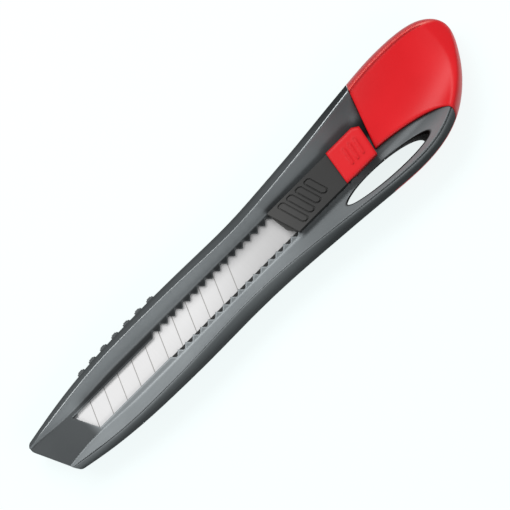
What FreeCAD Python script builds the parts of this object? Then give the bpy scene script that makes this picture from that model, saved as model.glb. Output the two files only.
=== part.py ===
import FreeCAD, Part

# Snap-off utility knife: a two-shell handle with a dished top, a 9 mm scored blade on a thumb slider
# that runs along a toothed slot, a sliding lock that spreads two pawls into the teeth, and a pull-off
# end cap whose shelf carries the rear half of the loop hole.
#
# Frame: X runs along the handle towards the blade tip, Y towards the cutting edge and the loop hole,
# Z up from the flat back of the handle, which rests on Z = 0. All sizes are in millimetres.

import math
import os
import re

import Sketcher
from FreeCAD import Placement, Rotation, Vector

DEGREE = math.pi / 180
FAR = 200.0

SIZES = (
    # snap-off blade
    ("blade_width", 9.0),
    ("blade_span", 80.0),
    ("blade_thick", 0.4),
    ("blade_bottom", 5.95),
    ("blade_tip_x", 64.5),
    ("snap_pitch", 5.0),
    ("snap_count", 11),
    ("snap_slant", 22.5),
    ("snap_depth", 0.06),
    ("snap_groove", 0.16),
    ("snap_first_x", 58.1),
    ("bevel_width", 0.95),
    ("edge_thick", 0.06),
    ("tail_corner", 2.0),
    ("tail_hole", 1.9),
    ("tail_hole_x", -13.2),
    # handle
    ("rim_width", 0.6),
    ("rim_round", 0.45),
    ("dish_overrun", 0.8),
    ("overrun_lean", 0.15),
    ("reach_least", 0.4),
    ("rise_least", 0.2),
    ("floor_share", 0.85),
    ("belly_share", 0.5),
    ("corner_share", 0.3),
    ("bulge_low", 0.02),
    ("bulge_high", 0.74),
    ("bulge_gain", 0.765),
    ("rim_share", 0.08),
    ("wall_start", 0.02),
    ("wall_foot", 0.35),
    ("wall_brow", 0.22),
    ("wall_brow_rise", 0.55),
    ("wall_crease", 0.35),
    ("crease_rear_x", 47.0),
    ("crease_front_x", 64.0),
    ("crown_step", 0.5),
    ("crown_near", 0.45),
    ("crown_far", 0.85),
    ("wall_thick", 1.6),
    ("floor_thick", 1.0),
    ("roof_spread", 0.8),
    ("parting_z", 5.5),
    ("nose_x", 74.1),
    ("nose_slant", -25.5),
    ("nose_corner", 2.4),
    ("seam_x", -42.1),
    ("seam_slant", 20.5),
    ("seam_gap", 0.1),
    ("seam_lap", 1.0),
    ("ring_floor_z", 7.4),
    ("ring_floor_tilt", 8.7),
    ("loop_x", -39.7),
    ("loop_y", 9.2),
    ("loop_long", 27.8),
    ("loop_wide", 4.8),
    ("loop_foot_x", -38.6),
    ("loop_foot_y", 8.3),
    ("loop_foot_long", 26.4),
    ("loop_foot_wide", 6.6),
    ("loop_edge_z", 9.8),
    ("loop_turn", -3.6),
    ("ring_long", 44.0),
    ("ring_wide", 12.4),
    ("loop_wall", 1.8),
    ("rib_count", 7),
    ("rib_pitch", 4.3),
    ("rib_wide", 2.1),
    ("rib_crest_wide", 1.2),
    ("rib_proud", 0.6),
    ("rib_shoulder", 0.38),
    ("rib_inner_y", -6.0),
    ("rib_bottom", 2.6),
    ("rib_top", 8.6),
    ("rib_first_x", 53.1),
    # slot and its teeth
    ("slot_width", 7.0),
    ("slot_front_x", 61.0),
    ("slot_front_slant", -27.0),
    ("slot_rear_x", -39.4),
    ("tooth_pitch", 2.73),
    ("tooth_depth", 1.08),
    ("tooth_tip", 0.2),
    ("tooth_first_x", 32.5),
    ("tooth_count", 25),
    # steel tray under the blade
    ("tray_width", 10.0),
    ("tray_front_x", 66.0),
    ("tray_rear_x", -39.0),
    ("tray_thick", 0.4),
    ("tray_rise", 0.86),
    ("tray_clear", 0.05),
    ("tray_room_top", 6.4),
    ("rail_thick", 1.2),
    ("rail_ledge", 0.5),
    # blade carrier, its pin and rivets
    ("carrier_front_x", -16.0),
    ("hook_thick", 0.6),
    ("carrier_rear_x", -38.6),
    ("carrier_width", 8.8),
    ("tongue_front_x", -11.9),
    ("tongue_width", 4.8),
    ("tongue_bottom", 6.42),
    ("pin_wide", 1.7),
    ("rivet_wide", 1.8),
    ("rivet_grip", 0.6),
    ("rivet_front_x", -22.0),
    ("rivet_rear_x", -36.2),
    # thumb slider
    ("slider_bottom", 7.5),
    ("slider_top", 10.0),
    ("slider_width", 9.2),
    ("slider_front_x", -10.9),
    ("slider_front_slant", -16.5),
    ("lip_slant", -7.0),
    ("lip_corner_y", 1.7),
    ("lip_top", 8.5),
    ("slider_step_x", -30.3),
    ("slider_step_slant", 9.5),
    ("deck_top", 8.6),
    ("deck_rear_x", -39.6),
    ("neck_width", 5.8),
    ("neck_front_x", -17.2),
    ("ridge_count", 4),
    ("ridge_pitch", 2.93),
    ("ridge_wide", 1.5),
    ("ridge_round", 0.5),
    ("ridge_span", 7.4),
    ("ridge_shorter", 0.65),
    ("ridge_slant", -15.5),
    ("ridge_first_x", -14.6),
    ("ridge_rise", 0.15),
    ("moat_wide", 0.35),
    ("moat_deep", 0.35),
    # lock button and pawls
    ("lock_top", 11.0),
    ("lock_width", 9.5),
    ("lock_rear_x", -41.15),
    ("lock_travel", 2.4),
    ("lock_wedge_tip", 1.32),
    ("pawl_travel", 0.8),
    ("pawl_x", -30.29),
    ("pawl_long", 4.6),
    ("pawl_reach", 3.35),
    ("pawl_bottom", 6.45),
    ("pawl_top", 7.3),
    ("wedge_span", 2.8),
    ("stem_width", 2.4),
    ("lock_corner", 0.85),
    ("lock_corner_tall", 1.4),
    ("lock_bar_count", 3),
    ("lock_bar_pitch", 1.9),
    ("lock_bar_span", 4.6),
    ("lock_bar_wide", 0.7),
    ("lock_bar_slant", 12.0),
    ("lock_bar_first_x", -34.6),
    ("lock_bar_rise", 0.22),
    ("play", 0.1),
    ("bore_top", 30.0),
    ("pawl_run", 0.03),
    ("pawl_tooth_deep", 0.7),
    ("pawl_tooth_crest", 0.66),
    ("deck_lap", 1.0),
    ("lip_share", 0.9),
    # end cap
    ("cap_pocket_rear_x", -66.0),
    ("cap_wall", 1.6),
    ("cap_pocket_left_y", -10.0),
    ("cap_pocket_wide", 13.5),
    ("cap_pocket_high", 4.1),
    ("cap_tongue_high", 3.1),
    ("cap_tongue_lift", 0.3),
    ("cap_slit_high", 1.5),
    ("tongue_root", 6.0),
    ("tongue_room_rear_x", -50.0),
    ("tongue_room_long", 20.0),
    ("tongue_long", 13.0),
    ("cap_tongue_width", 8.4),
)

# Handle offsets, front to rear. Each row holds the station x, half width, middle y, rim height, belly
# height, dish height, half width of the dish floor, how far the rim sits inside the widest point on
# the spine side and on the cutting-edge side, and the height of the cap's own shallower dish.
OFFSETS = (
    (80.0, 6.0, 0.0, 8.5, 4.2, 8.1, 5.2, 0.8, 0.6, 8.1),
    (71.0, 7.6, 0.0, 9.2, 3.2, 7.9, 5.6, 1.1, 0.8, 7.9),
    (64.0, 8.9, 0.0, 9.9, 2.0, 7.5, 4.6, 1.6, 0.8, 7.5),
    (51.0, 10.4, 0.0, 11.2, 0.1, 7.4, 4.95, 2.0, 0.8, 7.4),
    (38.0, 11.0, 0.0, 12.1, -0.4, 7.4, 4.95, 2.4, 1.1, 7.4),
    (25.0, 11.15, 0.0, 12.4, -0.5, 7.4, 4.95, 2.7, 1.5, 7.4),
    (12.0, 11.0, 0.0, 12.4, -0.5, 7.4, 4.95, 3.0, 1.8, 7.4),
    (-1.0, 11.1, 0.2, 12.4, -0.5, 7.4, 4.95, 3.2, 1.7, 7.4),
    (-14.0, 11.9, 0.3, 12.5, -0.5, 7.4, 4.95, 3.0, 1.3, 7.4),
    (-27.0, 12.9, 0.35, 12.7, -0.5, 7.4, 4.95, 2.7, 0.7, 6.7),
    (-39.0, 14.0, 0.35, 12.8, -0.5, 7.4, 4.95, 2.3, 0.4, 6.8),
    (-47.0, 14.5, 0.2, 12.8, -0.5, 7.5, 4.95, 1.9, 0.3, 7.1),
    (-55.0, 14.4, -0.5, 12.6, -0.5, 8.2, 4.9, 1.7, 0.4, 7.9),
    (-62.0, 13.2, -1.75, 12.1, -0.3, 9.2, 4.2, 1.6, 0.8, 9.3),
    (-67.5, 11.1, -3.4, 11.4, 0.3, 9.9, 2.2, 1.5, 1.0, 10.2),
    (-71.5, 8.6, -5.0, 10.6, 1.1, 10.3, -0.4, 1.6, 1.1, 10.45),
    (-74.2, 5.9, -6.1, 9.7, 2.2, 10.4, -2.0, 1.2, 1.1, 10.15),
    (-75.9, 3.4, -6.7, 8.8, 3.4, 10.4, -4.0, 0.9, 0.9, 9.9),
    (-76.7, 1.2, -6.9, 7.5, 4.7, 10.4, -6.0, 0.5, 0.5, 9.6),
)

# Runs of stations: the spine-side ribs, the dish, the cap's own dish, and the hollow inside.
RIB_ROWS = OFFSETS[2:8]
DISH_ROWS = OFFSETS[:15]
CROWN_ROWS = OFFSETS[9:17]
HOLLOW_ROWS = OFFSETS[2:15]

ALIAS = re.compile(r"\b(" + "|".join(alias for alias, _ in SIZES) + r")\b")

document = FreeCAD.newDocument("UtilityKnife")
sheet = document.addObject("Spreadsheet::Sheet", "Sizes")
for row, (alias, value) in enumerate(SIZES, start=1):
    sheet.set(f"A{row}", alias.replace("_", " "))
    sheet.set(f"B{row}", str(value))
    sheet.setAlias(f"B{row}", alias)
document.recompute()


def size(alias):
    """One driving size, read from the sheet."""
    return float(sheet.get(alias))


# ---------------------------------------------------------------- document helpers


def bind(thing, **expressions):
    """Binds properties of a document object to expressions on the sheet."""
    for path, expression in expressions.items():
        thing.setExpression(path.replace("__", "."), with_sheet(expression))
    return thing


def with_sheet(expression):
    """Writes 'blade_width / 2' as 'Sizes.blade_width / 2'."""
    return ALIAS.sub(r"Sizes.\1", expression)


def value_of(expression):
    """The number that an expression on the sheet stands for now."""
    return float(sheet.evalExpression(with_sheet(expression)))


def box(name, low, high):
    """A Part::Box between two corners, each given as three expressions."""
    thing = document.addObject("Part::Box", name)
    for side, start, end, axis in zip(("Length", "Width", "Height"), low, high, "xyz"):
        thing.setExpression(side, with_sheet(f"( {end} ) - ( {start} )"))
        thing.setExpression(f"Placement.Base.{axis}", with_sheet(start))
    return thing


def cylinder(name, diameter, x, y, low, high):
    """An upright Part::Cylinder from expressions."""
    thing = document.addObject("Part::Cylinder", name)
    bind(thing, Radius=f"( {diameter} ) / 2", Height=f"( {high} ) - ( {low} )")
    bind(thing, Placement__Base__x=x, Placement__Base__y=y, Placement__Base__z=low)
    return thing


def fuse(name, *pieces):
    thing = document.addObject("Part::MultiFuse", name)
    thing.Shapes = list(pieces)
    thing.Refine = True
    return thing


def cut(name, base, tool):
    thing = document.addObject("Part::Cut", name)
    thing.Base = base
    thing.Tool = tool
    return thing


def body(name):
    thing = document.addObject("PartDesign::Body", name)
    thing.Label = name
    return thing


def outline(owner, name, corners, height="0", plane="XY_Plane"):
    """A closed sketch through corners given as pairs of expressions, at a height above its plane."""
    sketch = owner.newObject("Sketcher::SketchObject", name)
    origin_plane = next(f for f in owner.Origin.OriginFeatures if f.Role == plane)
    sketch.AttachmentSupport = (origin_plane, [""])
    sketch.MapMode = "FlatFace"
    sketch.setExpression("AttachmentOffset.Base.z", with_sheet(height))
    places = [Vector(value_of(across), value_of(along), 0) for across, along in corners]
    for number, place in enumerate(places):
        following = places[(number + 1) % len(places)]
        sketch.addGeometry(Part.LineSegment(place, following))
    for number in range(len(places)):
        following = (number + 1) % len(places)
        sketch.addConstraint(Sketcher.Constraint("Coincident", number, 2, following, 1))
    for number, (place, corner) in enumerate(zip(places, corners)):
        for kind, value, expression in zip(("DistanceX", "DistanceY"), place, corner):
            index = sketch.addConstraint(Sketcher.Constraint(kind, -1, 1, number, 1, value))
            sketch.setExpression(f"Constraints[{index}]", with_sheet(expression))
    return sketch


def pad(owner, name, corners, low, high):
    """Adds an upright block with the given outline between two heights."""
    sketch = outline(owner, name + "_sketch", corners, low)
    feature = owner.newObject("PartDesign::Pad", name)
    feature.Profile = sketch
    feature.setExpression("Length", with_sheet(f"( {high} ) - ( {low} )"))
    document.recompute()
    return feature


def pocket(owner, name, corners, low, high, plane="XY_Plane"):
    """Removes a straight block with the given outline between two distances from its plane."""
    before = owner.Shape.Volume
    sketch = outline(owner, name + "_sketch", corners, high, plane)
    feature = owner.newObject("PartDesign::Pocket", name)
    feature.Profile = sketch
    feature.setExpression("Length", with_sheet(f"( {high} ) - ( {low} )"))
    document.recompute()
    if owner.Shape.Volume >= before:
        raise RuntimeError(f"{name} removed nothing")
    return feature


def rectangle(left, right, bottom, top):
    return ((left, bottom), (right, bottom), (right, top), (left, top))


def repeat(owner, name, feature, count, pitch, direction="X_Axis"):
    """Repeats a feature along an origin axis of its body."""
    pattern = owner.newObject("PartDesign::LinearPattern", name)
    pattern.Originals = [feature]
    axis = next(f for f in owner.Origin.OriginFeatures if f.Role == direction)
    pattern.Direction = (axis, [""])
    pattern.Reversed = True
    bind(pattern, Occurrences=count, Length=f"{pitch} * ( {count} - 1 )")
    owner.Tip = pattern
    document.recompute()
    return pattern


def feature_shape(name, shape):
    """A Part::Feature with a shape worked out from the sheet."""
    thing = document.addObject("Part::Feature", name)
    thing.Shape = shape
    thing.Placement = Placement()
    thing.Label = name
    return thing


# ---------------------------------------------------------------- handle form


def bezier(*poles):
    curve = Part.BezierCurve()
    curve.setPoles(list(poles))
    return curve.toShape()


def line(start, end):
    return Part.LineSegment(start, end).toShape()


def hull_section(station, inset=0.0):
    """Closed section of the handle: flat belly, bulged sides, and a rim with a small bevel."""
    x, half, middle, rim, belly, _, _, spine_set, edge_set, _ = station
    rim, belly, half = rim - inset, belly + inset, half - inset
    depth = rim - belly
    foot = size("belly_share") * half
    corner = min(size("rim_round"), size("corner_share") * half)

    def at(across, up):
        return Vector(x, middle + across, up)

    def wall(side, setback):
        brow = half - setback
        bulge = (half - (foot + brow) / 8) / size("bulge_gain")
        curve = (
            at(side * foot, belly),
            at(side * bulge, belly + size("bulge_low") * depth),
            at(side * bulge, belly + size("bulge_high") * depth),
            at(side * brow, rim - corner),
        )
        return curve, at(side * (brow - corner), rim)

    right, right_crest = wall(1, edge_set)
    left, left_crest = wall(-1, spine_set)
    return Part.Wire([
        line(left[0], right[0]),
        bezier(*right),
        line(right[3], right_crest),
        line(right_crest, left_crest),
        line(left_crest, left[3]),
        bezier(*reversed(left)),
    ])


def rim_reach(station, spread=0.0):
    """Inner edges of the rim at a station, on the spine side and on the cutting-edge side."""
    _, half, middle, _, _, _, _, spine_set, edge_set, _ = station
    band = min(size("rim_width"), size("rim_share") * half)
    reach = half - band + spread + size("overrun_lean") * size("dish_overrun")
    least = size("reach_least")
    return middle - max(reach - spine_set, least), middle + max(reach - edge_set, least)


def dish_wall(x, foot, foot_z, edge, rise, crease=0.0):
    """Hollow wall from the dish floor out to the rim: smooth at its foot, or creased near the nose."""
    start = size("wall_start") + crease * size("wall_crease")
    return bezier(
        Vector(x, foot, foot_z),
        Vector(x, foot + size("wall_foot") * (edge - foot), foot_z + start * rise),
        Vector(x, edge - size("wall_brow") * (edge - foot), foot_z + size("wall_brow_rise") * rise),
        Vector(x, edge, foot_z + rise),
    )


def open_top(x, left, right, low):
    """The three straight sides that close a dish section above the rim."""
    ends = ((right, low), (right, FAR), (left, FAR), (left, low))
    corners = [Vector(x, across, up) for across, up in ends]
    return [line(start, end) for start, end in zip(corners, corners[1:])]


def dish_section(station, spread=0.0, sink=0.0):
    """Closed section of the dish: flat floor, hollow sides up to the rim, open above."""
    x, _, _, rim, _, floor, floor_half, _, _, _ = station
    left, right = rim_reach(station, spread)
    flat = floor_half + spread
    share = size("floor_share")
    flat_left, flat_right = max(-flat, share * left), min(flat, share * right)
    floor = floor - sink
    rise = max(rim - floor, size("rise_least")) + size("dish_overrun")
    climb = (x - size("crease_rear_x")) / (size("crease_front_x") - size("crease_rear_x"))
    crease = min(max(climb, 0.0), 1.0)
    edges = [line(Vector(x, flat_left, floor), Vector(x, flat_right, floor))]
    edges.append(dish_wall(x, flat_right, floor, right, rise, crease))
    edges += open_top(x, left, right, floor + rise)
    edges.append(dish_wall(x, flat_left, floor, left, rise, crease))
    return Part.Wire(edges)


def crown_section(station):
    """Closed section of the cap's dish: a step inside the spine rim, then one hollow sheet."""
    x, _, _, rim, _, _, _, _, _, crown = station
    left, right = rim_reach(station)
    step = size("crown_step")
    width = right - left
    top = max(rim, crown) + size("dish_overrun")
    shoulder = Vector(x, left + step, max(rim - step, crown))
    sheet = bezier(
        shoulder,
        Vector(x, left + size("crown_near") * width, crown),
        Vector(x, left + size("crown_far") * width, crown),
        Vector(x, right, top),
    )
    start = Vector(x, left, top)
    return Part.Wire([sheet] + open_top(x, left, right, top) + [line(start, shoulder)])


def slab(low, high):
    """A wide level slab between two heights."""
    return Part.makeBox(2 * FAR, 2 * FAR, high - low, Vector(-FAR, -FAR, low))


def nose_corner(side):
    """What rounding takes off one upright corner of the nose."""
    front, rear = OFFSETS[0], OFFSETS[1]
    start = Vector(rear[0], side * rear[1], 0)
    along = (Vector(front[0], side * front[1], 0) - start).normalize()
    flank_in = Vector(along.y * side, -along.x * side, 0)
    slant = size("nose_slant") * DEGREE
    nose_in = Vector(-math.cos(slant), math.sin(slant), 0)
    radius = size("nose_corner")
    flank_far = flank_in.dot(start) + radius
    nose_far = nose_in.dot(Vector(size("nose_x"), 0, 0)) + radius
    cross = flank_in.x * nose_in.y - flank_in.y * nose_in.x
    centre = Vector(
        (flank_far * nose_in.y - nose_far * flank_in.y) / cross,
        (nose_far * flank_in.x - flank_far * nose_in.x) / cross,
        0,
    )
    outward = -(flank_in + nose_in)
    corners = [centre, centre - flank_in * 3 * radius, centre + outward * 3 * radius]
    corners.append(centre - nose_in * 3 * radius)
    block = Part.Face(Part.makePolygon(corners + corners[:1])).extrude(Vector(0, 0, FAR))
    return block.cut(Part.makeCylinder(radius, FAR, centre))


def behind(x, slant):
    """Everything rearward of an upright plane that crosses the X axis at x."""
    block = Part.makeBox(FAR, 2 * FAR, 2 * FAR, Vector(-FAR, -FAR, -FAR))
    block.Placement = Placement(Vector(x, 0, 0), Rotation(Vector(0, 0, 1), -slant))
    return block


def oval_wire(long, wide, x, y, z):
    """Level oval outline, turned the way the loop hole is."""
    wire = Part.Wire([Part.Ellipse(Vector(0, 0, 0), long / 2, wide / 2).toShape()])
    wire.Placement = Placement(Vector(x, y, z), Rotation(Vector(0, 0, 1), size("loop_turn")))
    return wire


def oval(long, wide, low, high):
    """Upright oval column at the loop hole."""
    outline_wire = oval_wire(long, wide, size("loop_x"), size("loop_y"), low)
    return Part.Face(outline_wire).extrude(Vector(0, 0, high - low))


def loop_hole_tool():
    """The loop hole: an upright oval at the top that opens out below towards the handle's middle."""
    edge = size("loop_edge_z")
    long, wide = size("loop_long"), size("loop_wide")
    foot_long, foot_wide = size("loop_foot_long"), size("loop_foot_wide")
    foot = oval_wire(foot_long, foot_wide, size("loop_foot_x"), size("loop_foot_y"), -size("rim_round"))
    mouth = oval_wire(long, wide, size("loop_x"), size("loop_y"), edge)
    return Part.makeLoft([foot, mouth], True, True).fuse(oval(long, wide, edge, FAR))


def grip_ribs():
    """Upright ribs along the spine side, proud of the handle's contour, each with a stepped back."""
    ribs = []
    low, tall = size("rib_bottom"), size("rib_top") - size("rib_bottom")
    deep = FAR + size("rib_inner_y")
    for wide, proud in (("rib_wide", "rib_shoulder"), ("rib_crest_wide", "rib_proud")):
        contour = Part.makeLoft([hull_section(row, -size(proud)) for row in RIB_ROWS], True, False)
        for number in range(int(size("rib_count"))):
            x = size("rib_first_x") - number * size("rib_pitch")
            corner = Vector(x - size(wide) / 2, -FAR, low)
            ribs.append(contour.common(Part.makeBox(size(wide), deep, tall, corner)))
    return ribs


def handle_forms():
    """Outer form of the handle with its dish, the cap's form with its own dish, and the hollow."""
    whole = Part.makeLoft([hull_section(station) for station in OFFSETS], True, False)
    for rib in grip_ribs():
        whole = whole.fuse(rib)
    whole = whole.common(slab(0.0, FAR)).common(behind(size("nose_x"), size("nose_slant")))
    for side in (-1, 1):
        whole = whole.cut(nose_corner(side))
    dish = Part.makeLoft([dish_section(station) for station in DISH_ROWS], True, False)
    crown = Part.makeLoft([crown_section(station) for station in CROWN_ROWS], True, False)
    outer = whole.cut(dish)
    crowned = whole.cut(crown)

    wall = size("wall_thick")
    inner = Part.makeLoft([hull_section(station, wall) for station in HOLLOW_ROWS], True, False)
    sink = size("floor_thick")
    spread = size("roof_spread")
    roof = Part.makeLoft([dish_section(station, spread, sink) for station in DISH_ROWS], True, False)
    hollow = inner.cut(roof).common(slab(wall, FAR))
    wall_long = size("loop_long") + 2 * size("loop_wall")
    wall_wide = size("loop_wide") + 2 * size("loop_wall")
    hollow = hollow.cut(oval(wall_long, wall_wide, -wall, FAR))
    foot_wide = size("loop_foot_wide") + size("loop_wall")
    foot_wall = oval(wall_long, foot_wide, -wall, size("parting_z") + sink)
    hollow = hollow.cut(foot_wall.translated(Vector(0, size("loop_foot_y") - size("loop_y"), 0)))
    return outer, crowned, hollow


def tooth_slot():
    """The blade slot: straight in front, with triangular rack teeth on both edges behind."""
    half = size("slot_width") / 2
    slant = math.tan(size("slot_front_slant") * DEGREE)
    front = size("slot_front_x")
    rear = size("slot_rear_x")
    corners = [Vector(front + half * slant, half, 0), Vector(front - half * slant, -half, 0)]
    corners += tooth_edge(-half, -1)
    corners += [Vector(rear, -half, 0), Vector(rear, half, 0)]
    corners += reversed(tooth_edge(half, 1))
    face = Part.Face(Part.makePolygon(corners + corners[:1]))
    low = size("blade_bottom")
    return face.extrude(Vector(0, 0, FAR)).translated(Vector(0, 0, low))


def tooth_edge(y, side):
    """Corners of the tooth gaps along one edge of the slot, front to rear."""
    gap = size("tooth_pitch") / 2 - size("tooth_tip") / 2
    depth = size("tooth_depth")
    corners = []
    for number in range(int(size("tooth_count"))):
        x = size("tooth_first_x") - number * size("tooth_pitch")
        corners.append(Vector(x + gap, y, 0))
        corners.append(Vector(x + gap - depth, y + side * depth, 0))
        corners.append(Vector(x - gap + depth, y + side * depth, 0))
        corners.append(Vector(x - gap, y, 0))
    return corners


def loop_ring(gap=0.0):
    """Oval ring of the upper shell over the cap's shelf; its underside rises towards the edge side."""
    column = oval(size("ring_long") + 2 * gap, size("ring_wide") + 2 * gap, 0.0, FAR)
    above = slab(0.0, FAR)
    place = Vector(0, size("loop_y"), size("ring_floor_z") - gap)
    above.Placement = Placement(place, Rotation(Vector(1, 0, 0), size("ring_floor_tilt")))
    return column.common(above)


def make_shells_and_cap():
    outer, crowned, hollow = handle_forms()
    loop_hole = loop_hole_tool()
    front = outer.cut(behind(size("seam_x"), size("seam_slant")))
    lower_front = outer.cut(behind(size("seam_x") - size("seam_lap"), size("seam_slant")))
    ring = outer.common(loop_ring()).common(behind(size("seam_x"), size("seam_slant")))
    inside = hollow.cut(behind(size("seam_x") + size("wall_thick"), size("seam_slant")))
    inside = inside.fuse(cap_tongue_room())

    half_room = size("tray_width") / 2 + size("tray_clear")
    tray_room = Part.makeBox(
        FAR, 2 * half_room, size("tray_room_top") - size("parting_z"),
        Vector(size("slot_rear_x"), -half_room, size("parting_z")),
    )
    rails = rail_walls()
    upper = front.common(slab(size("parting_z"), FAR)).fuse(ring)
    upper = upper.cut(inside.cut(rails)).cut(tray_room).cut(tooth_slot()).cut(loop_hole)
    lower = lower_front.common(slab(0.0, size("parting_z"))).cut(inside.cut(rails)).cut(loop_hole)
    feature_shape("upper_shell", upper.removeSplitter())
    feature_shape("lower_shell", lower.removeSplitter())
    feature_shape("end_cap", end_cap(crowned, loop_hole).removeSplitter())


def rail_walls():
    """Two long walls inside the handle that carry the steel tray."""
    outside = size("tray_width") + 2 * size("rail_thick")
    walls = Part.makeBox(2 * FAR, outside, size("slider_bottom"), Vector(-FAR, -outside / 2, 0))
    inside = size("tray_width") - 2 * size("rail_ledge")
    middle = Part.makeBox(2 * FAR, inside, size("parting_z"), Vector(-FAR, -inside / 2, 0))
    return walls.cut(middle)


def cap_tongue_room():
    """Opening in the rear wall of the shells for the cap's tongue."""
    width = size("cap_tongue_width") + 4 * size("play")
    height = size("parting_z") - 1.5 * size("play") - size("wall_thick")
    corner = Vector(size("tongue_room_rear_x"), -width / 2, size("wall_thick"))
    return Part.makeBox(size("tongue_room_long"), width, height, corner)


def end_cap(crowned, loop_hole):
    """Cap with a tongue, a storage pocket open to the front, and a shelf under the loop ring."""
    gap = size("seam_gap")
    parting = size("parting_z")
    above = crowned.common(behind(size("seam_x") - gap, size("seam_slant")))
    below = crowned.common(behind(size("seam_x") - gap - size("seam_lap"), size("seam_slant")))
    cap = above.common(slab(parting + gap, FAR)).fuse(below.common(slab(0.0, parting + 2 * gap)))
    cap = cap.cut(loop_ring(gap))
    wall = size("cap_wall")
    rear = size("cap_pocket_rear_x")
    pocket_corner = Vector(rear, size("cap_pocket_left_y"), wall)
    pocket_room = Part.makeBox(FAR, size("cap_pocket_wide"), size("cap_pocket_high"), pocket_corner)
    tongue_wide = size("cap_tongue_width")
    tongue_low = wall + size("cap_tongue_lift")
    tongue_high = size("cap_tongue_high")
    root = size("tongue_root")
    tongue_corner = Vector(size("seam_x") - root, -tongue_wide / 2, tongue_low)
    tongue = Part.makeBox(size("tongue_long") + root, tongue_wide, tongue_high, tongue_corner)
    slit_wide = tongue_wide - 2 * wall
    slit_low = tongue_low + (tongue_high - size("cap_slit_high")) / 2
    slit = Part.makeBox(FAR, slit_wide, size("cap_slit_high"), Vector(rear, -slit_wide / 2, slit_low))
    return cap.cut(pocket_room).fuse(tongue).cut(slit).cut(loop_hole)


# ---------------------------------------------------------------- blade and its carriage


def make_snap_blade():
    blade = body("snap_blade")
    edge = "blade_width / 2"
    lean = "blade_width * tan( snap_slant )"
    tail = "blade_tip_x - blade_span"
    corners = (
        (tail, f"-{edge}"),
        (f"blade_tip_x - {lean}", f"-{edge}"),
        ("blade_tip_x", edge),
        (f"{tail} + tail_corner", edge),
        (tail, f"{edge} - tail_corner"),
    )
    top = "blade_bottom + blade_thick"
    pad(blade, "strip", corners, "blade_bottom", top)
    ground = "( blade_thick - edge_thick ) / 2"
    root = f"{edge} - bevel_width"
    beyond = f"{edge} + bevel_width"
    upper = ((root, top), (beyond, f"{top} - 2 * {ground}"), (beyond, top))
    lower = ((root, "blade_bottom"), (beyond, f"blade_bottom + 2 * {ground}"), (beyond, "blade_bottom"))
    start, end = f"{tail} - bevel_width", "blade_tip_x + bevel_width"
    pocket(blade, "upper_bevel", upper, start, end, "YZ_Plane")
    pocket(blade, "lower_bevel", lower, start, end, "YZ_Plane")
    half_lean = "blade_width / 2 * tan( snap_slant )"
    groove = (
        (f"snap_first_x - {half_lean} - snap_groove / 2", f"-{edge}"),
        (f"snap_first_x - {half_lean} + snap_groove / 2", f"-{edge}"),
        (f"snap_first_x + {half_lean} + snap_groove / 2", edge),
        (f"snap_first_x + {half_lean} - snap_groove / 2", edge),
    )
    score = pocket(blade, "score", groove, f"{top} - snap_depth", top)
    repeat(blade, "scores", score, "snap_count", "snap_pitch")
    return blade


def make_blade_tray():
    half = "tray_width / 2"
    rise = "parting_z + tray_rise"
    web_top = "parting_z + tray_thick"
    web = box("tray_web", ("tray_rear_x", f"-{half}", "parting_z"), ("tray_front_x", half, web_top))
    left = box(
        "tray_left",
        ("tray_rear_x", f"-{half}", "parting_z"),
        ("tray_front_x", f"-{half} + tray_thick", rise),
    )
    right = box(
        "tray_right",
        ("tray_rear_x", f"{half} - tray_thick", "parting_z"),
        ("tray_front_x", half, rise),
    )
    tray = fuse("blade_tray", web, left, right)
    tray.Label = "blade_tray"
    return tray


def make_blade_carrier():
    carrier = body("blade_carrier")
    half = "carrier_width / 2"
    top = "blade_bottom + blade_thick"
    tongue = "tongue_width / 2"
    plate = rectangle("carrier_rear_x", "carrier_front_x", f"-{half}", half)
    pad(carrier, "plate", plate, "blade_bottom", top)
    riser = rectangle("carrier_front_x - hook_thick", "carrier_front_x", f"-{tongue}", tongue)
    pad(carrier, "riser", riser, "blade_bottom", "tongue_bottom + blade_thick")
    hook = rectangle("carrier_front_x - hook_thick", "tongue_front_x", f"-{tongue}", tongue)
    pad(carrier, "hook", hook, "tongue_bottom", "tongue_bottom + blade_thick")
    return carrier


def make_pins():
    pin = cylinder(
        "carrier_pin", "pin_wide", "tail_hole_x", "0", "blade_bottom", "tongue_bottom + blade_thick"
    )
    pin.Label = "carrier_pin"
    rivets = [
        cylinder(name, "rivet_wide", x, "0", "blade_bottom", "slider_bottom + rivet_grip")
        for name, x in (("front_rivet", "rivet_front_x"), ("rear_rivet", "rivet_rear_x"))
    ]
    group = document.addObject("Part::Compound", "slider_rivets")
    group.Links = rivets
    group.Label = "slider_rivets"
    return pin, group


def bored(name, owner, *columns):
    """The piece of a body with upright holes through it, as a Part::Cut with its own label."""
    tools = columns[0] if len(columns) == 1 else fuse(name + "_bores", *columns)
    piece = cut(name, owner, tools)
    owner.Label = name + "_blank"
    piece.Label = name
    return piece


def column(name, diameter, x, top="bore_top"):
    return cylinder(name, diameter, x, "0", "0", top)


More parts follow.
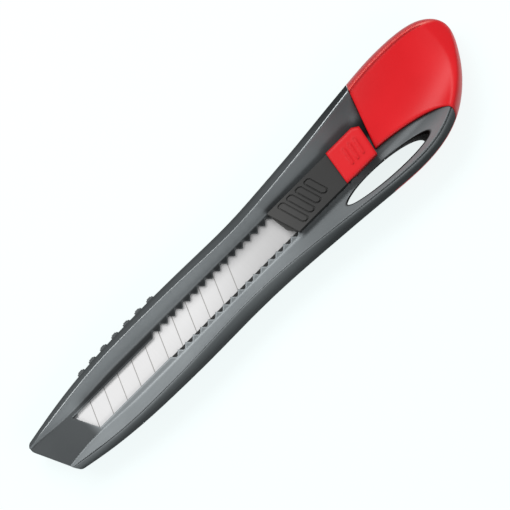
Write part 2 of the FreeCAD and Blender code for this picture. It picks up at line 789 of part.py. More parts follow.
def make_thumb_slider():
    """Thumb piece over the slot floor, with two necks through the slot and room for the lock."""
    slider = body("thumb_slider_blank")
    half = "slider_width / 2"
    front_lean = "slider_width / 2 * tan( slider_front_slant )"
    step_lean = "slider_width / 2 * tan( slider_step_slant )"
    thumb = (
        (f"slider_step_x - {step_lean}", f"-{half}"),
        (f"slider_front_x - {front_lean}", f"-{half}"),
        (f"slider_front_x + {front_lean}", half),
        (f"slider_step_x + {step_lean}", half),
    )
    pad(slider, "thumb_block", thumb, "slider_bottom", "slider_top")
    lip_lean = "( slider_width / 2 + lip_corner_y ) * tan( lip_slant )"
    lip = (
        (f"slider_front_x - {front_lean}", f"-{half}"),
        (f"slider_front_x - {front_lean} + {lip_lean}", "lip_corner_y"),
        (f"slider_front_x + {front_lean} * lip_share", f"{half} * lip_share"),
    )
    pad(slider, "front_lip", lip, "slider_bottom", "lip_top")
    deck_side = f"{half} - 2 * play"
    deck = rectangle("deck_rear_x", "slider_step_x + deck_lap", f"-( {deck_side} )", deck_side)
    pad(slider, "deck", deck, "slider_bottom", "deck_top")

    neck = "neck_width / 2"
    neck_bottom = "blade_bottom + blade_thick"
    pawl_front = "pawl_x + pawl_long / 2 + play"
    pawl_rear = "pawl_x - pawl_long / 2 - play"
    front_neck = rectangle(pawl_front, "neck_front_x", f"-{neck}", neck)
    pad(slider, "front_neck", front_neck, neck_bottom, "slider_bottom + play")
    rear_neck = rectangle("carrier_rear_x", pawl_rear, f"-{neck}", neck)
    pad(slider, "rear_neck", rear_neck, neck_bottom, "slider_bottom + play")

    wedge_half = "lock_wedge_tip + wedge_span / 3 + play"
    wedge_rear = "slider_step_x - play - wedge_span"
    wedge_way = rectangle(f"{wedge_rear} - 3 * play", "pawl_x", f"-( {wedge_half} )", wedge_half)
    pocket(slider, "wedge_way", wedge_way, neck_bottom, "slider_bottom")
    stem_half = "stem_width / 2 + play"
    stem_way = rectangle(f"{wedge_rear} - 3 * play", pawl_front, f"-( {stem_half} )", stem_half)
    pocket(slider, "stem_way", stem_way, "slider_bottom", "deck_top + 3 * play")
    for number in range(int(size("ridge_count"))):
        add_ridge(slider, number)
    piece = bored(
        "thumb_slider", slider,
        column("front_rivet_bore", "rivet_wide", "rivet_front_x", "slider_bottom + rivet_grip"),
        column("rear_rivet_bore", "rivet_wide", "rivet_rear_x", "slider_bottom + rivet_grip"),
    )
    return piece


def slanted_bar(x, middle, span, wide, slant, clip):
    """Outline of an upright bar across the piece, leaning along X, with clipped ends."""
    corners = []
    for along, across in ((-1, -1), (-1, 1), (1, 1), (1, -1)):
        shoulder = (f"{along} * ( ( {span} ) / 2 - {clip} )", f"{across} * ( {wide} ) / 2")
        end = (f"{along} * ( {span} ) / 2", f"{across} * ( ( {wide} ) / 2 - {clip} )")
        for up, sideways in ((shoulder, end) if along * across > 0 else (end, shoulder)):
            corners.append((f"{x} + {up} * tan( {slant} ) + {sideways}", f"{middle} + {up}"))
    return corners


def add_ridge(slider, number):
    """One slanted finger ridge in a shallow moat; each is a little shorter than the one before."""
    span = f"ridge_span - {number} * ridge_shorter"
    middle = f"( 0 - {number} * ridge_shorter / 3 )"
    x = f"ridge_first_x - {number} * ridge_pitch"
    ridge = slanted_bar(x, middle, span, "ridge_wide", "ridge_slant", "ridge_round")
    moat_span = f"{span} + 2 * moat_wide"
    moat = slanted_bar(x, middle, moat_span, "ridge_wide + 2 * moat_wide", "ridge_slant", "ridge_round")
    floor = "slider_top - moat_deep"
    pocket(slider, f"moat_{number + 1}", moat, floor, "slider_top")
    pad(slider, f"ridge_{number + 1}", ridge, floor, "slider_top + ridge_rise")


def make_lock_button():
    """Sliding lock: a cap over the deck, a stem through it, and a wedge between the pawls."""
    lock = body("lock_button")
    half = "lock_width / 2"
    lean = "lock_width / 2 * tan( slider_step_slant )"
    seam_lean = "lock_width / 2 * tan( seam_slant )"

    def button_outline(front):
        return (
            ("lock_rear_x + lock_corner", f"-{half}"),
            (f"{front} - {lean}", f"-{half}"),
            (f"{front} + {lean}", half),
            (f"lock_rear_x - lock_corner + {seam_lean}", half),
            (f"lock_rear_x - lock_corner", f"-{half} + lock_corner_tall * lock_corner"),
        )

    underside = "deck_top + play / 2"
    lower_front = "slider_step_x - lock_travel - play"
    pad(lock, "skirt", button_outline(lower_front), underside, "slider_top + play")
    pad(lock, "crown", button_outline("slider_step_x"), "slider_top + play", "lock_top")
    for number in range(int(size("lock_bar_count"))):
        x = f"lock_bar_first_x - {number} * lock_bar_pitch"
        clip = "lock_bar_wide / 4"
        bar = slanted_bar(x, "0", "lock_bar_span", "lock_bar_wide", "lock_bar_slant", clip)
        pad(lock, f"grip_bar_{number + 1}", bar, "lock_top - play", "lock_top + lock_bar_rise")
    tip = "slider_step_x - play"
    rear = f"{tip} - wedge_span"
    stem = rectangle(rear, f"{tip} - 2 * play", "-stem_width / 2", "stem_width / 2")
    pad(lock, "stem", stem, "pawl_top - play", f"{underside} + play")
    wide = "lock_wedge_tip + wedge_span / 3"
    wedge = (
        (rear, f"-( {wide} )"),
        (tip, "-lock_wedge_tip"),
        (tip, "lock_wedge_tip"),
        (rear, wide),
    )
    pad(lock, "wedge", wedge, "pawl_bottom", "pawl_top")
    return lock


def make_pawl(name, side):
    """Sliding dog with one rack tooth outside and a slanted inner face against the wedge."""
    pawl = body(name)
    front = "pawl_x + pawl_long / 2"
    rear = "pawl_x - pawl_long / 2"
    inner = "( lock_wedge_tip - pawl_travel + pawl_run )"
    back = "( pawl_reach - tooth_depth * pawl_tooth_deep )"
    crest = "( tooth_pitch / 2 - tooth_tip / 2 - tooth_depth * pawl_tooth_crest )"
    root = f"( {crest} + tooth_depth * pawl_tooth_deep )"
    corners = [
        (rear, f"{inner} + pawl_long / 3"),
        (front, inner),
        (front, back),
        (f"pawl_x + {root}", back),
        (f"pawl_x + {crest}", "pawl_reach"),
        (f"pawl_x - {crest}", "pawl_reach"),
        (f"pawl_x - {root}", back),
        (rear, back),
    ]
    corners = [(x, f"{side} * ( {y} )") for x, y in corners]
    pad(pawl, f"{name}_plate", corners, "pawl_bottom", "pawl_top")
    return pawl


# ---------------------------------------------------------------- build, check and write


def main():
    make_shells_and_cap()
    tray = make_blade_tray()
    blade = make_snap_blade()
    carrier = make_blade_carrier()
    pin, rivets = make_pins()
    slider = make_thumb_slider()
    lock = make_lock_button()
    pawls = [make_pawl("pawl_left", -1), make_pawl("pawl_right", 1)]
    blade_piece = bored("snap_blade", blade, column("tail_bore", "tail_hole", "tail_hole_x"))
    carrier_piece = bored(
        "blade_carrier", carrier,
        column("carrier_pin_bore", "pin_wide", "tail_hole_x"),
        column("front_carrier_bore", "rivet_wide", "rivet_front_x"),
        column("rear_carrier_bore", "rivet_wide", "rivet_rear_x"),
    )
    document.recompute()
    shells = [document.getObject(name) for name in ("upper_shell", "lower_shell", "end_cap")]
    write(shells + [tray, blade_piece, carrier_piece, pin, rivets, slider, lock] + pawls)


def write(pieces):
    """Checks every object of the document, then writes one STEP file for each piece."""
    for thing in document.Objects:
        if "Invalid" in thing.State or "Error" in thing.State:
            raise RuntimeError(f"{thing.Name}: {thing.State}")
    for piece in pieces:
        shape = piece.Shape
        if shape.isNull() or not shape.isValid():
            raise RuntimeError(f"{piece.Label}: bad shape")
        bounds = shape.BoundBox
        print(
            f"{piece.Label:15s} solids {len(shape.Solids)}  volume {shape.Volume:9.2f}  "
            f"x {bounds.XMin:7.2f} {bounds.XMax:7.2f}  y {bounds.YMin:7.2f} {bounds.YMax:7.2f}  "
            f"z {bounds.ZMin:6.2f} {bounds.ZMax:6.2f}"
        )
    os.makedirs("parts", exist_ok=True)
    for piece in pieces:
        piece.Shape.exportStep(f"parts/{piece.Label}.step")


main()
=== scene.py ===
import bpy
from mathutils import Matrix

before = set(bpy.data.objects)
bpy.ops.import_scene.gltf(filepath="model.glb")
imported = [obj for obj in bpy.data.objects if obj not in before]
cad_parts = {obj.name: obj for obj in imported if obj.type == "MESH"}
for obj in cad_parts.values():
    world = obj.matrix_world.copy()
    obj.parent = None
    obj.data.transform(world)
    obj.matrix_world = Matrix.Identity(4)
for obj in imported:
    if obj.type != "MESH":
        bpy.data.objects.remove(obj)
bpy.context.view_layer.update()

# Every piece of the knife is the CAD solid itself, dressed in node materials and lit like the
# photograph; the materials also carry painted shade and painted highlights. X runs along the handle
# towards the blade's tip, Y towards the cutting edge and the loop hole, and Z up, so -Y is the spine
# side. Lengths are in metres.

import math

import bpy
from mathutils import Matrix, Vector

MM = 0.001

# ---------------------------------------------------------------- camera, light and floor: values

VIEW_TILT = math.radians(12.0)
VIEW_WIDTH = 131.1 * MM
AIM = Vector((0.0, 0.0, 6.2 * MM))
LENS_MM = 150.0
SENSOR_MM = 36.0
CLIP_NEAR = 0.01
CLIP_FAR = 50.0

SKY_COLOUR = (0.96, 0.99, 1.0)
SKY_STRENGTH = 0.50
BOX_DISTANCE = 0.6
BOX_SIZE = (0.6, 0.22)
# Name, direction round from +X and up from the floor in degrees, and radiance.
SOFT_BOXES = (
    ("spine_box", -84.0, 56.0, 6.5),
    ("edge_box", 98.0, 42.0, 3.0),
)

FLOOR_REACH = 3.0
FLOOR_Z = -0.05 * MM
FLOOR_DARK = (0.13, 0.15, 0.15)
FLOOR_MIDDLE = (0.14, 0.15, 0.15)
FLOOR_LIGHT = (0.15, 0.16, 0.16)
FLOOR_ROUGHNESS = 0.9
FLOOR_CLOUD_SCALE = 3.0
FLOOR_CLOUD_DETAIL = 3.0
FLOOR_GLOW_COLOUR = (0.94, 1.0, 1.0)
FLOOR_GLOW = 0.86

# ---------------------------------------------------------------- plastics: values
#
# tones: painted shade and painted highlight, how bright a face is painted by its lean, as (lean, tone)
# stops. Lean 0 faces the handle's middle, 0.5 is level and 1 faces outwards. The first row is for the
# spine side, the second for the edge side.
#
# patches: places painted darker or lighter, as painted shade and painted light. Each gives an axis,
# where the patch starts and ends on it, the (step, tone) stops between, and where along an axis the
# whole patch fades in.
#
# lines: narrow strips of painted highlight and painted shade along the crest of the rim. Each gives
# the row of tones that it is on (0 spine side, 1 edge side), its colour, its (lean, strength) stops,
# and where it fades in across the handle.
#
# The grey's black tint keeps pale fringes off faces that are seen at a slant.

GREY = {
    "dark": (0.158, 0.170, 0.176),
    "light": (0.182, 0.195, 0.201),
    "roughness": 0.36,
    "specular": 0.0,
    "specular_tint": (0.0, 0.0, 0.0),
    "metallic": 0.3,
    "grain_scale": 5200.0,
    "grain_depth": 0.010 * MM,
    "edge_softness": 0.6 * MM,
    # Painted shade and painted highlight: faces leaning inwards are painted lighter, faces leaning
    # outwards darker.
    "tones": (
        (
            (0.0, 1.85), (0.12, 1.68), (0.26, 1.15), (0.38, 0.7),
            (0.47, 0.42), (0.66, 0.5), (0.80, 0.50), (1.0, 0.42),
        ),
        (
            (0.0, 1.9), (0.18, 1.85), (0.32, 1.5), (0.47, 1.35),
            (0.60, 0.7), (0.70, 1.4), (0.85, 0.8), (1.0, 0.34),
        ),
    ),
    "patches": (
        # Painted shade in the dip beside the slot, spine side.
        (
            "Y", -7.5 * MM, 5.0 * MM,
            ((0.0, 1.0), (0.17, 0.36), (0.5, 0.36), (0.65, 1.0)),
            ("X", 62.0 * MM, 56.0 * MM),
        ),
        # Painted shade towards the rear of the spine side.
        (
            "X", -16.0 * MM, -44.0 * MM,
            ((0.0, 1.0), (0.7, 0.7), (1.0, 0.45)),
            ("Y", 2.0 * MM, -2.0 * MM),
        ),
        # Painted shade towards the rear of the edge side.
        (
            "X", 2.0 * MM, -22.0 * MM,
            ((0.0, 1.0), (1.0, 0.75)),
            ("Y", -2.0 * MM, 2.0 * MM),
        ),
        # Painted shade on the band between the loop hole and the cap.
        (
            "Y", 12.0 * MM, -3.0 * MM,
            ((0.0, 1.0), (0.26, 0.52), (0.65, 0.52), (0.9, 1.0)),
            ("X", -30.0 * MM, -38.0 * MM),
        ),
    ),
    "lines": (
        # Painted highlight along the spine side of the rim.
        (
            0, (0.54, 0.57, 0.58),
            ((0.49, 0.0), (0.54, 1.0), (0.68, 1.0), (0.75, 0.0)),
            (-3.0 * MM, -5.0 * MM),
        ),
        # Painted shade line along the edge side of the rim.
        (
            1, (0.02, 0.022, 0.023),
            ((0.36, 0.0), (0.43, 0.9), (0.57, 0.9), (0.63, 0.0)),
            (4.0 * MM, 6.0 * MM),
        ),
    ),
    "hole_shade": True,
    "parting_line": True,
}

# Painted shade: the red's outward-leaning faces are painted darker.
RED_ROW = ((0.0, 1.0), (0.55, 1.0), (0.75, 0.85), (1.0, 0.5))
RED = {
    "dark": (0.60, 0.007, 0.011),
    "light": (0.66, 0.010, 0.015),
    "roughness": 0.34,
    "specular": 0.22,
    "specular_tint": (1.0, 1.0, 1.0),
    "metallic": 0.0,
    "grain_scale": 3600.0,
    "grain_depth": 0.005 * MM,
    "edge_softness": 1.4 * MM,
    "tones": (RED_ROW, RED_ROW),
    "patches": (),
    "lines": (
        # Painted highlight along the spine side of the cap's rim.
        (
            0, (0.95, 0.36, 0.30),
            ((0.52, 0.0), (0.56, 1.0), (0.62, 1.0), (0.67, 0.0)),
            (-9.0 * MM, -12.0 * MM),
        ),
    ),
    "hole_shade": True,
    "parting_line": False,
}

BLACK = {
    "dark": (0.022, 0.0215, 0.021),
    "light": (0.031, 0.030, 0.029),
    "roughness": 0.5,
    "specular": 0.35,
    "specular_tint": (1.0, 1.0, 1.0),
    "metallic": 0.0,
    "grain_scale": 5200.0,
    "grain_depth": 0.012 * MM,
    "edge_softness": 0.15 * MM,
    # Painted highlight on the slider's faces that lean a little outwards, painted shade on its
    # steepest outward faces.
    "tones": (
        ((0.0, 0.8), (0.45, 1.0), (0.55, 1.0), (0.68, 2.2), (0.82, 1.6), (1.0, 0.5)),
        ((0.0, 0.8), (0.45, 1.0), (0.55, 1.0), (0.68, 1.8), (0.82, 1.2), (1.0, 0.5)),
    ),
    "patches": (
        # Painted light and painted shade: paler towards the front, where the finger ridges are, and
        # darker towards the rear. It covers the whole slider.
        (
            "X", -26.0 * MM, -11.0 * MM,
            ((0.0, 0.72), (0.5, 0.95), (1.0, 1.6)),
            ("X", -60.0 * MM, -50.0 * MM),
        ),
    ),
    "lines": (),
    "hole_shade": False,
    "parting_line": False,
}

CLOUD_SCALE = 55.0
CLOUD_DETAIL = 4.0
CLOUD_LOW = 0.3
CLOUD_HIGH = 0.7
GRAIN_DETAIL = 2.0
GRAIN_STRENGTH = 1.0
PLASTIC_SPREAD = (-0.06, 0.08)
BEVEL_SAMPLES = 8

# The spine side gives way to the edge side within this distance of the middle.
SIDE_BLEND = 3.0 * MM

# The painted lines show only on the rim, above this height.
CREST_LOW = 8.9 * MM
CREST_HIGH = 9.4 * MM

# Painted shade: level faces are painted darker on the nose, in front of the slot, than elsewhere.
LEVEL_FACE = ((0.38, 0.0), (0.46, 1.0), (0.54, 1.0), (0.62, 0.0))
NOSE_START = 58.0 * MM
NOSE_END = 62.0 * MM
NOSE_SHADE_TONE = 0.42

# The loop hole: an oval, turned a little, that is wider towards the middle below a set height.
HOLE_X = -39.7 * MM
HOLE_Y = 9.2 * MM
HOLE_HALF_LONG = 14.25 * MM
HOLE_HALF_WIDE = 2.75 * MM
HOLE_TURN = 0.063
HOLE_FLARE = 1.3 * MM
HOLE_FLARE_TOP = 7.2 * MM
HOLE_FLARE_FOOT = 6.6 * MM
HOLE_FADE = (1.08, 0.94)
# Painted shade: the walls and the very edge of the loop hole are painted near black.
HOLE_SHADE_COLOUR = (0.016, 0.012, 0.012)

PARTING_Z = 5.5 * MM
PARTING_HALF = 0.14 * MM
PARTING_COLOUR = (0.012, 0.013, 0.014)

# ---------------------------------------------------------------- steels: values

# Grinding lines are noise on stretched coordinates, so their scale is all in the stretch.
GRIND_SCALE = 1.0
GRIND_DETAIL = 3.0
GRIND_STRENGTH = 0.4

BLADE_BASE = (0.8, 0.8, 0.8)
BLADE_DARK = (0.635, 0.627, 0.625)
BLADE_LIGHT = (0.655, 0.645, 0.645)
BLADE_LOW = 0.25
BLADE_HIGH = 0.75
BLADE_ROUGHNESS = 0.45
BLADE_SPREAD = (-0.05, 0.08)
BLADE_METALLIC = 0.25
BLADE_GRIND = (2600.0, 60.0, 60.0)
BLADE_GRIND_DEPTH = 0.004 * MM

# Painted shade: the blade is painted darker towards its tail.
BLADE_TAIL_SHADE_X = -8.0 * MM
BLADE_BRIGHT_X = 22.0 * MM
BLADE_TAIL_SHADE_TONE = 0.74

# Painted shade in the score lines, one pitch apart, from the rearmost one to the tip.
SCORE_PITCH = 5.0 * MM
SCORE_WIDTH = 0.23 * MM
SCORE_SLOPE = math.tan(math.radians(22.5))
SCORE_LAST_X = 8.08 * MM
SCORE_SHADE_COLOUR = (0.30, 0.29, 0.28)
# Painted dark reflection: from here to the cutting edge the ground bevel is painted near black.
EDGE_START_Y = 3.5 * MM
EDGE_SHADE_COLOUR = (0.03, 0.03, 0.03)

STEEL_DARK = (0.5, 0.5, 0.51)
STEEL_LIGHT = (0.66, 0.66, 0.67)
STEEL_ROUGHNESS = 0.35
STEEL_METALLIC = 1.0
STEEL_SPREAD = (-0.06, 0.1)
STEEL_GRIND = (60.0, 4000.0, 4000.0)
STEEL_GRIND_DEPTH = 0.010 * MM

# ---------------------------------------------------------------- node tools

# The factor and the two colours among the inputs of a colour Mix node.
MIX_INPUTS = (0, 6, 7)
MIX_OUTPUT = 2


def new_material(name, colour, roughness, metallic=0.0):
    """A new material, its node tree and its shader."""
    material = bpy.data.materials.new(name)
    material.use_nodes = True
    tree = material.node_tree
    shader = tree.nodes["Principled BSDF"]
    shader.inputs["Base Color"].default_value = (*colour, 1.0)
    shader.inputs["Roughness"].default_value = roughness
    shader.inputs["Metallic"].default_value = metallic
    return material, tree, shader


def add(tree, kind, **values):
    """A new node. Each value goes to the input of that name, or else to the node's own setting."""
    node = tree.nodes.new(kind)
    for name, value in values.items():
        if name in node.inputs:
            node.inputs[name].default_value = value
        else:
            setattr(node, name, value)
    return node


def object_coordinates(tree, scale=(1.0, 1.0, 1.0)):
    """The place on the piece, stretched by a scale for each axis."""
    coordinates = add(tree, "ShaderNodeTexCoord")
    mapping = add(tree, "ShaderNodeMapping", Scale=scale)
    tree.links.new(coordinates.outputs["Object"], mapping.inputs["Vector"])
    return mapping.outputs["Vector"]


def separate(tree, vector):
    """The X, Y and Z outputs of a vector."""
    node = add(tree, "ShaderNodeSeparateXYZ")
    tree.links.new(vector, node.inputs["Vector"])
    return node.outputs


def noise(tree, vector, scale, detail):
    """Cloudy noise from 0 to 1."""
    node = add(tree, "ShaderNodeTexNoise", Scale=scale, Detail=detail)
    tree.links.new(vector, node.inputs["Vector"])
    return node.outputs["Fac"]


def ramp(tree, factor, stops):
    """A colour ramp through (place, colour) stops."""
    node = add(tree, "ShaderNodeValToRGB")
    elements = node.color_ramp.elements
    for element, (place, colour) in ((elements[0], stops[0]), (elements[1], stops[-1])):
        element.position = place
        element.color = (*colour, 1.0)
    for place, colour in stops[1:-1]:
        elements.new(place).color = (*colour, 1.0)
    tree.links.new(factor, node.inputs["Fac"])
    return node.outputs["Color"]


def grey_ramp(tree, level, stops):
    """A ramp between plain grey levels."""
    return ramp(tree, level, [(place, (tone,) * 3) for place, tone in stops])


def spread_round(tree, factor, middle, spread):
    """Middle plus the first of spread where factor is 0, and plus the second where it is 1."""
    node = add(tree, "ShaderNodeMapRange")
    node.inputs["To Min"].default_value = middle + spread[0]
    node.inputs["To Max"].default_value = middle + spread[1]
    tree.links.new(factor, node.inputs["Value"])
    return node.outputs["Result"]


def blend_along(tree, value, start, end):
    """0 before start and 1 after end, smoothly between."""
    node = add(tree, "ShaderNodeMapRange", interpolation_type="SMOOTHSTEP")
    node.inputs["From Min"].default_value = start
    node.inputs["From Max"].default_value = end
    tree.links.new(value, node.inputs["Value"])
    return node.outputs["Result"]


def arithmetic(tree, operation, *values):
    """One Math node. Each value is a socket or a number."""
    node = add(tree, "ShaderNodeMath", operation=operation)
    for socket, value in zip(node.inputs, values):
        if isinstance(value, (int, float)):
            socket.default_value = value
        else:
            tree.links.new(value, socket)
    return node.outputs[0]


def mix_colour(tree, factor, first, second, blend="MIX"):
    """One colour Mix node. The factor is a socket or a float, and each colour a socket or a tuple."""
    node = add(tree, "ShaderNodeMix", data_type="RGBA", blend_type=blend)
    for number, value in zip(MIX_INPUTS, (factor, first, second)):
        socket = node.inputs[number]
        if isinstance(value, tuple):
            socket.default_value = (*value, 1.0)
        elif isinstance(value, float):
            socket.default_value = value
        else:
            tree.links.new(value, socket)
    return node.outputs[MIX_OUTPUT]


def relief(tree, shader, height, depth, strength, normal=None):
    """Fine relief on the shader's normal, over another normal if there is one."""
    node = add(tree, "ShaderNodeBump", Distance=depth, Strength=strength)
    tree.links.new(height, node.inputs["Height"])
    if normal is not None:
        tree.links.new(normal, node.inputs["Normal"])
    tree.links.new(node.outputs["Normal"], shader.inputs["Normal"])


# ---------------------------------------------------------------- moulded plastic


def softened_normal(tree, radius):
    """A normal that is rounded over at edges, and how it leans in the piece's own axes."""
    soft = add(tree, "ShaderNodeBevel", samples=BEVEL_SAMPLES, Radius=radius).outputs["Normal"]
    turned = add(tree, "ShaderNodeVectorTransform")
    turned.vector_type = "NORMAL"
    turned.convert_from = "WORLD"
    turned.convert_to = "OBJECT"
    tree.links.new(soft, turned.inputs["Vector"])
    return soft, separate(tree, turned.outputs["Vector"])


def painted_lean_shade(tree, colour, levels, place, tones):
    """The colour with painted shade and painted highlight by which way each face leans, and painted
    shade on level faces of the nose.
    """
    spine_tone = grey_ramp(tree, levels[0], tones[0])
    edge_tone = grey_ramp(tree, levels[1], tones[1])
    side = blend_along(tree, place["Y"], -SIDE_BLEND, SIDE_BLEND)
    shade = mix_colour(tree, side, spine_tone, edge_tone)
    level_face = grey_ramp(tree, levels[1], LEVEL_FACE)
    on_nose = blend_along(tree, place["X"], NOSE_START, NOSE_END)
    level_nose = arithmetic(tree, "MULTIPLY", level_face, on_nose)
    shade = mix_colour(tree, level_nose, shade, (NOSE_SHADE_TONE,) * 3)
    return mix_colour(tree, 1.0, colour, shade, "MULTIPLY")


def painted_patches(tree, colour, place, patches):
    """The colour with each patch of painted shade and painted light laid over it."""
    for axis, start, end, stops, (limit_axis, limit_start, limit_end) in patches:
        tone = grey_ramp(tree, blend_along(tree, place[axis], start, end), stops)
        reach = blend_along(tree, place[limit_axis], limit_start, limit_end)
        colour = mix_colour(tree, reach, colour, mix_colour(tree, 1.0, colour, tone, "MULTIPLY"))
    return colour


def painted_crest_lines(tree, colour, levels, place, lines):
    """The colour with each painted highlight and painted shade line drawn along the crest of the rim.
    """
    high = blend_along(tree, place["Z"], CREST_LOW, CREST_HIGH)
    for row, line_colour, stops, (start, end) in lines:
        crest = grey_ramp(tree, levels[row], stops)
        across = blend_along(tree, place["Y"], start, end)
        strength = arithmetic(tree, "MULTIPLY", arithmetic(tree, "MULTIPLY", crest, high), across)
        colour = mix_colour(tree, strength, colour, line_colour)
    return colour


def in_hole(tree, place):
    """1 on the walls and the very edge of the loop hole, 0 away from it."""
    below = blend_along(tree, place["Z"], HOLE_FLARE_TOP, HOLE_FLARE_FOOT)
    wider = arithmetic(tree, "MULTIPLY", below, HOLE_FLARE)
    half_long = arithmetic(tree, "ADD", wider, HOLE_HALF_LONG)
    half_wide = arithmetic(tree, "ADD", wider, HOLE_HALF_WIDE)
    along = arithmetic(tree, "SUBTRACT", place["X"], HOLE_X)
    across = arithmetic(tree, "SUBTRACT", place["Y"], HOLE_Y)
    across = arithmetic(tree, "ADD", across, arithmetic(tree, "MULTIPLY", along, HOLE_TURN))
    across = arithmetic(tree, "ADD", across, wider)
    along = arithmetic(tree, "POWER", arithmetic(tree, "DIVIDE", along, half_long), 2.0)
    across = arithmetic(tree, "POWER", arithmetic(tree, "DIVIDE", across, half_wide), 2.0)
    return blend_along(tree, arithmetic(tree, "ADD", along, across), *HOLE_FADE)


def parted(tree, colour, place):
    """The colour with the dark parting line of the two shells round the flanks."""
    away = arithmetic(tree, "ABSOLUTE", arithmetic(tree, "SUBTRACT", place["Z"], PARTING_Z))
    line = blend_along(tree, away, PARTING_HALF, PARTING_HALF / 2)
    return mix_colour(tree, line, colour, PARTING_COLOUR)


def moulded_plastic(name, look):
    """Moulded plastic: cloudy colour with painted shade and painted highlights by the faces' lean, in
    patches, along the rim and in the loop hole, fine grain and softened edges.
    """
    material, tree, shader = new_material(name, look["light"], look["roughness"], look["metallic"])
    vector = object_coordinates(tree)
    place = separate(tree, vector)
    soft, lean = softened_normal(tree, look["edge_softness"])
    levels = (
        arithmetic(tree, "MULTIPLY_ADD", lean["Y"], -0.5, 0.5),
        arithmetic(tree, "MULTIPLY_ADD", lean["Y"], 0.5, 0.5),
    )
    cloud = noise(tree, vector, CLOUD_SCALE, CLOUD_DETAIL)
    colour = ramp(tree, cloud, ((CLOUD_LOW, look["dark"]), (CLOUD_HIGH, look["light"])))
    colour = painted_lean_shade(tree, colour, levels, place, look["tones"])
    colour = painted_patches(tree, colour, place, look["patches"])
    colour = painted_crest_lines(tree, colour, levels, place, look["lines"])
    grain = noise(tree, vector, look["grain_scale"], GRAIN_DETAIL)
    rough = spread_round(tree, grain, look["roughness"], PLASTIC_SPREAD)
    # Painted shade in the loop hole, which is also made fully rough.
    if look["hole_shade"]:
        hole = in_hole(tree, place)
        colour = mix_colour(tree, hole, colour, HOLE_SHADE_COLOUR)
        rough = arithmetic(tree, "MAXIMUM", rough, hole)
    if look["parting_line"]:
        colour = parted(tree, colour, place)
    tree.links.new(colour, shader.inputs["Base Color"])
    tree.links.new(rough, shader.inputs["Roughness"])
    shader.inputs["Specular IOR Level"].default_value = look["specular"]
    shader.inputs["Specular Tint"].default_value = (*look["specular_tint"], 1.0)
    relief(tree, shader, grain, look["grain_depth"], GRAIN_STRENGTH, soft)
    return material


# ---------------------------------------------------------------- steel


def ground_steel():
    """Ground steel: grinding lines drawn out along the handle."""
    material, tree, shader = new_material("tray_steel", STEEL_LIGHT, STEEL_ROUGHNESS, STEEL_METALLIC)
    grind = noise(tree, object_coordinates(tree, STEEL_GRIND), GRIND_SCALE, GRIND_DETAIL)
    colour = ramp(tree, grind, ((CLOUD_LOW, STEEL_DARK), (CLOUD_HIGH, STEEL_LIGHT)))
    tree.links.new(colour, shader.inputs["Base Color"])
    rough = spread_round(tree, grind, STEEL_ROUGHNESS, STEEL_SPREAD)
    tree.links.new(rough, shader.inputs["Roughness"])
    relief(tree, shader, grind, STEEL_GRIND_DEPTH, GRIND_STRENGTH)
    return material


def on_score_line(tree, along, across):
    """1 on a score line of the blade, where shade is painted, 0 elsewhere."""
    leaned = arithmetic(tree, "SUBTRACT", along, arithmetic(tree, "MULTIPLY", across, SCORE_SLOPE))
    ahead = arithmetic(tree, "SUBTRACT", leaned, SCORE_LAST_X)
    steps = arithmetic(tree, "DIVIDE", ahead, SCORE_PITCH)
    beside = arithmetic(tree, "FRACT", arithmetic(tree, "ADD", steps, 0.5))
    distance = arithmetic(tree, "ABSOLUTE", arithmetic(tree, "SUBTRACT", beside, 0.5))
    line = arithmetic(tree, "LESS_THAN", distance, SCORE_WIDTH / SCORE_PITCH / 2)
    in_range = arithmetic(tree, "GREATER_THAN", steps, -0.5)
    return arithmetic(tree, "MULTIPLY", line, in_range)


def scored_blade():
    """Satin strip steel with painted shade in the score lines across it, a painted dark reflection on
    the ground edge and painted shade towards the tail.
    """
    material, tree, shader = new_material("blade_steel", BLADE_BASE, BLADE_ROUGHNESS, BLADE_METALLIC)
    place = separate(tree, object_coordinates(tree))
    grind = noise(tree, object_coordinates(tree, BLADE_GRIND), GRIND_SCALE, GRIND_DETAIL)
    satin = ramp(tree, grind, ((BLADE_LOW, BLADE_DARK), (BLADE_HIGH, BLADE_LIGHT)))
    forward = blend_along(tree, place["X"], BLADE_TAIL_SHADE_X, BLADE_BRIGHT_X)
    # Painted shade towards the blade's tail.
    painted_tail_shade = grey_ramp(tree, forward, ((0.0, BLADE_TAIL_SHADE_TONE), (1.0, 1.0)))
    colour = mix_colour(tree, 1.0, satin, painted_tail_shade, "MULTIPLY")
    # Painted shade in the score lines.
    scored = on_score_line(tree, place["X"], place["Y"])
    colour = mix_colour(tree, scored, colour, SCORE_SHADE_COLOUR)
    # Painted dark reflection on the ground bevel.
    ground = arithmetic(tree, "GREATER_THAN", place["Y"], EDGE_START_Y)
    colour = mix_colour(tree, ground, colour, EDGE_SHADE_COLOUR)
    tree.links.new(colour, shader.inputs["Base Color"])
    rough = spread_round(tree, grind, BLADE_ROUGHNESS, BLADE_SPREAD)
    tree.links.new(rough, shader.inputs["Roughness"])
    relief(tree, shader, grind, BLADE_GRIND_DEPTH, GRIND_STRENGTH)
    return material


# ---------------------------------------------------------------- camera, light and floor


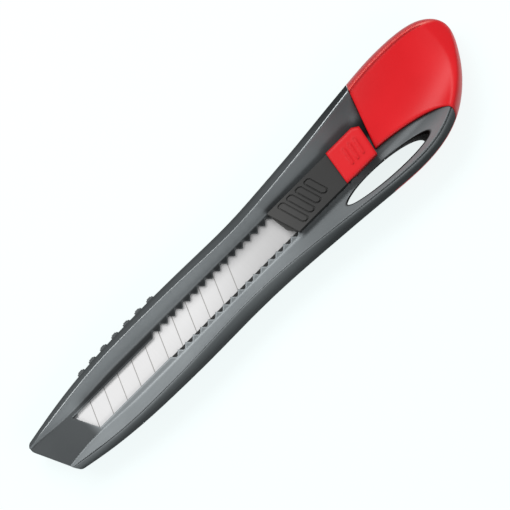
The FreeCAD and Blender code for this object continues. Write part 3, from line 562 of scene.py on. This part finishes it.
def make_camera():
    """Looks down on the dished top, a little from the loop-hole side, the knife on the diagonal."""
    back = Vector((0.0, math.sin(VIEW_TILT), math.cos(VIEW_TILT)))
    across = Vector((0.0, math.cos(VIEW_TILT), -math.sin(VIEW_TILT)))
    along = Vector((1.0, 0.0, 0.0))
    right = (across - along).normalized()
    up = (-across - along).normalized()
    camera = bpy.data.objects.new("camera", bpy.data.cameras.new("camera"))
    bpy.context.scene.collection.objects.link(camera)
    camera.data.lens = LENS_MM
    camera.data.sensor_width = SENSOR_MM
    camera.data.clip_start = CLIP_NEAR
    camera.data.clip_end = CLIP_FAR
    distance = VIEW_WIDTH * LENS_MM / SENSOR_MM
    turn = Matrix((right, up, back)).transposed().to_4x4()
    camera.matrix_world = Matrix.Translation(AIM + back * distance) @ turn
    bpy.context.scene.camera = camera


def soft_box(name, azimuth, elevation, radiance):
    """A long area light at a set distance from the knife, facing it."""
    turn, climb = math.radians(azimuth), math.radians(elevation)
    flat = math.cos(climb)
    direction = Vector((math.cos(turn) * flat, math.sin(turn) * flat, math.sin(climb)))
    data = bpy.data.lights.new(name, "AREA")
    data.shape = "RECTANGLE"
    data.size, data.size_y = BOX_SIZE
    data.energy = radiance * math.pi * data.size * data.size_y
    lamp = bpy.data.objects.new(name, data)
    bpy.context.scene.collection.objects.link(lamp)
    lamp.location = AIM + direction * BOX_DISTANCE
    lamp.rotation_mode = "QUATERNION"
    lamp.rotation_quaternion = direction.to_track_quat("Z", "Y")


def make_studio():
    """Two long soft boxes on either side of the knife, and a dimmer pale sky above it."""
    world = bpy.data.worlds.new("studio")
    bpy.context.scene.world = world
    world.use_nodes = True
    background = world.node_tree.nodes["Background"]
    background.inputs["Color"].default_value = (*SKY_COLOUR, 1.0)
    background.inputs["Strength"].default_value = SKY_STRENGTH
    for box in SOFT_BOXES:
        soft_box(*box)
    bpy.context.scene.view_settings.view_transform = "Standard"


def make_floor():
    """A pale light table: mostly even glow, so the shadows on it stay faint."""
    mesh = bpy.data.meshes.new("floor")
    corners = ((-1, -1), (1, -1), (1, 1), (-1, 1))
    places = [(x * FLOOR_REACH, y * FLOOR_REACH, FLOOR_Z) for x, y in corners]
    mesh.from_pydata(places, [], [(0, 1, 2, 3)])
    floor = bpy.data.objects.new("floor", mesh)
    bpy.context.scene.collection.objects.link(floor)
    material, tree, shader = new_material("floor_paper", FLOOR_MIDDLE, FLOOR_ROUGHNESS)
    cloud = noise(tree, object_coordinates(tree), FLOOR_CLOUD_SCALE, FLOOR_CLOUD_DETAIL)
    tint = ramp(tree, cloud, ((CLOUD_LOW, FLOOR_DARK), (CLOUD_HIGH, FLOOR_LIGHT)))
    tree.links.new(tint, shader.inputs["Base Color"])
    shader.inputs["Specular IOR Level"].default_value = 0.0
    shader.inputs["Emission Color"].default_value = (*FLOOR_GLOW_COLOUR, 1.0)
    shader.inputs["Emission Strength"].default_value = FLOOR_GLOW
    mesh.materials.append(material)


# ---------------------------------------------------------------- the knife


def dress_frame():
    """Gives every CAD node its material. Nodes not named here are steel."""
    grey = moulded_plastic("grey_plastic", GREY)
    red = moulded_plastic("red_plastic", RED)
    black = moulded_plastic("black_plastic", BLACK)
    steel = ground_steel()
    finish = {
        "upper_shell": grey,
        "lower_shell": grey,
        "end_cap": red,
        "lock_button": red,
        "thumb_slider": black,
        "snap_blade": scored_blade(),
    }
    for name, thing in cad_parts.items():
        thing.data.materials.clear()
        thing.data.materials.append(finish.get(name, steel))


make_camera()
make_studio()
make_floor()
dress_frame()
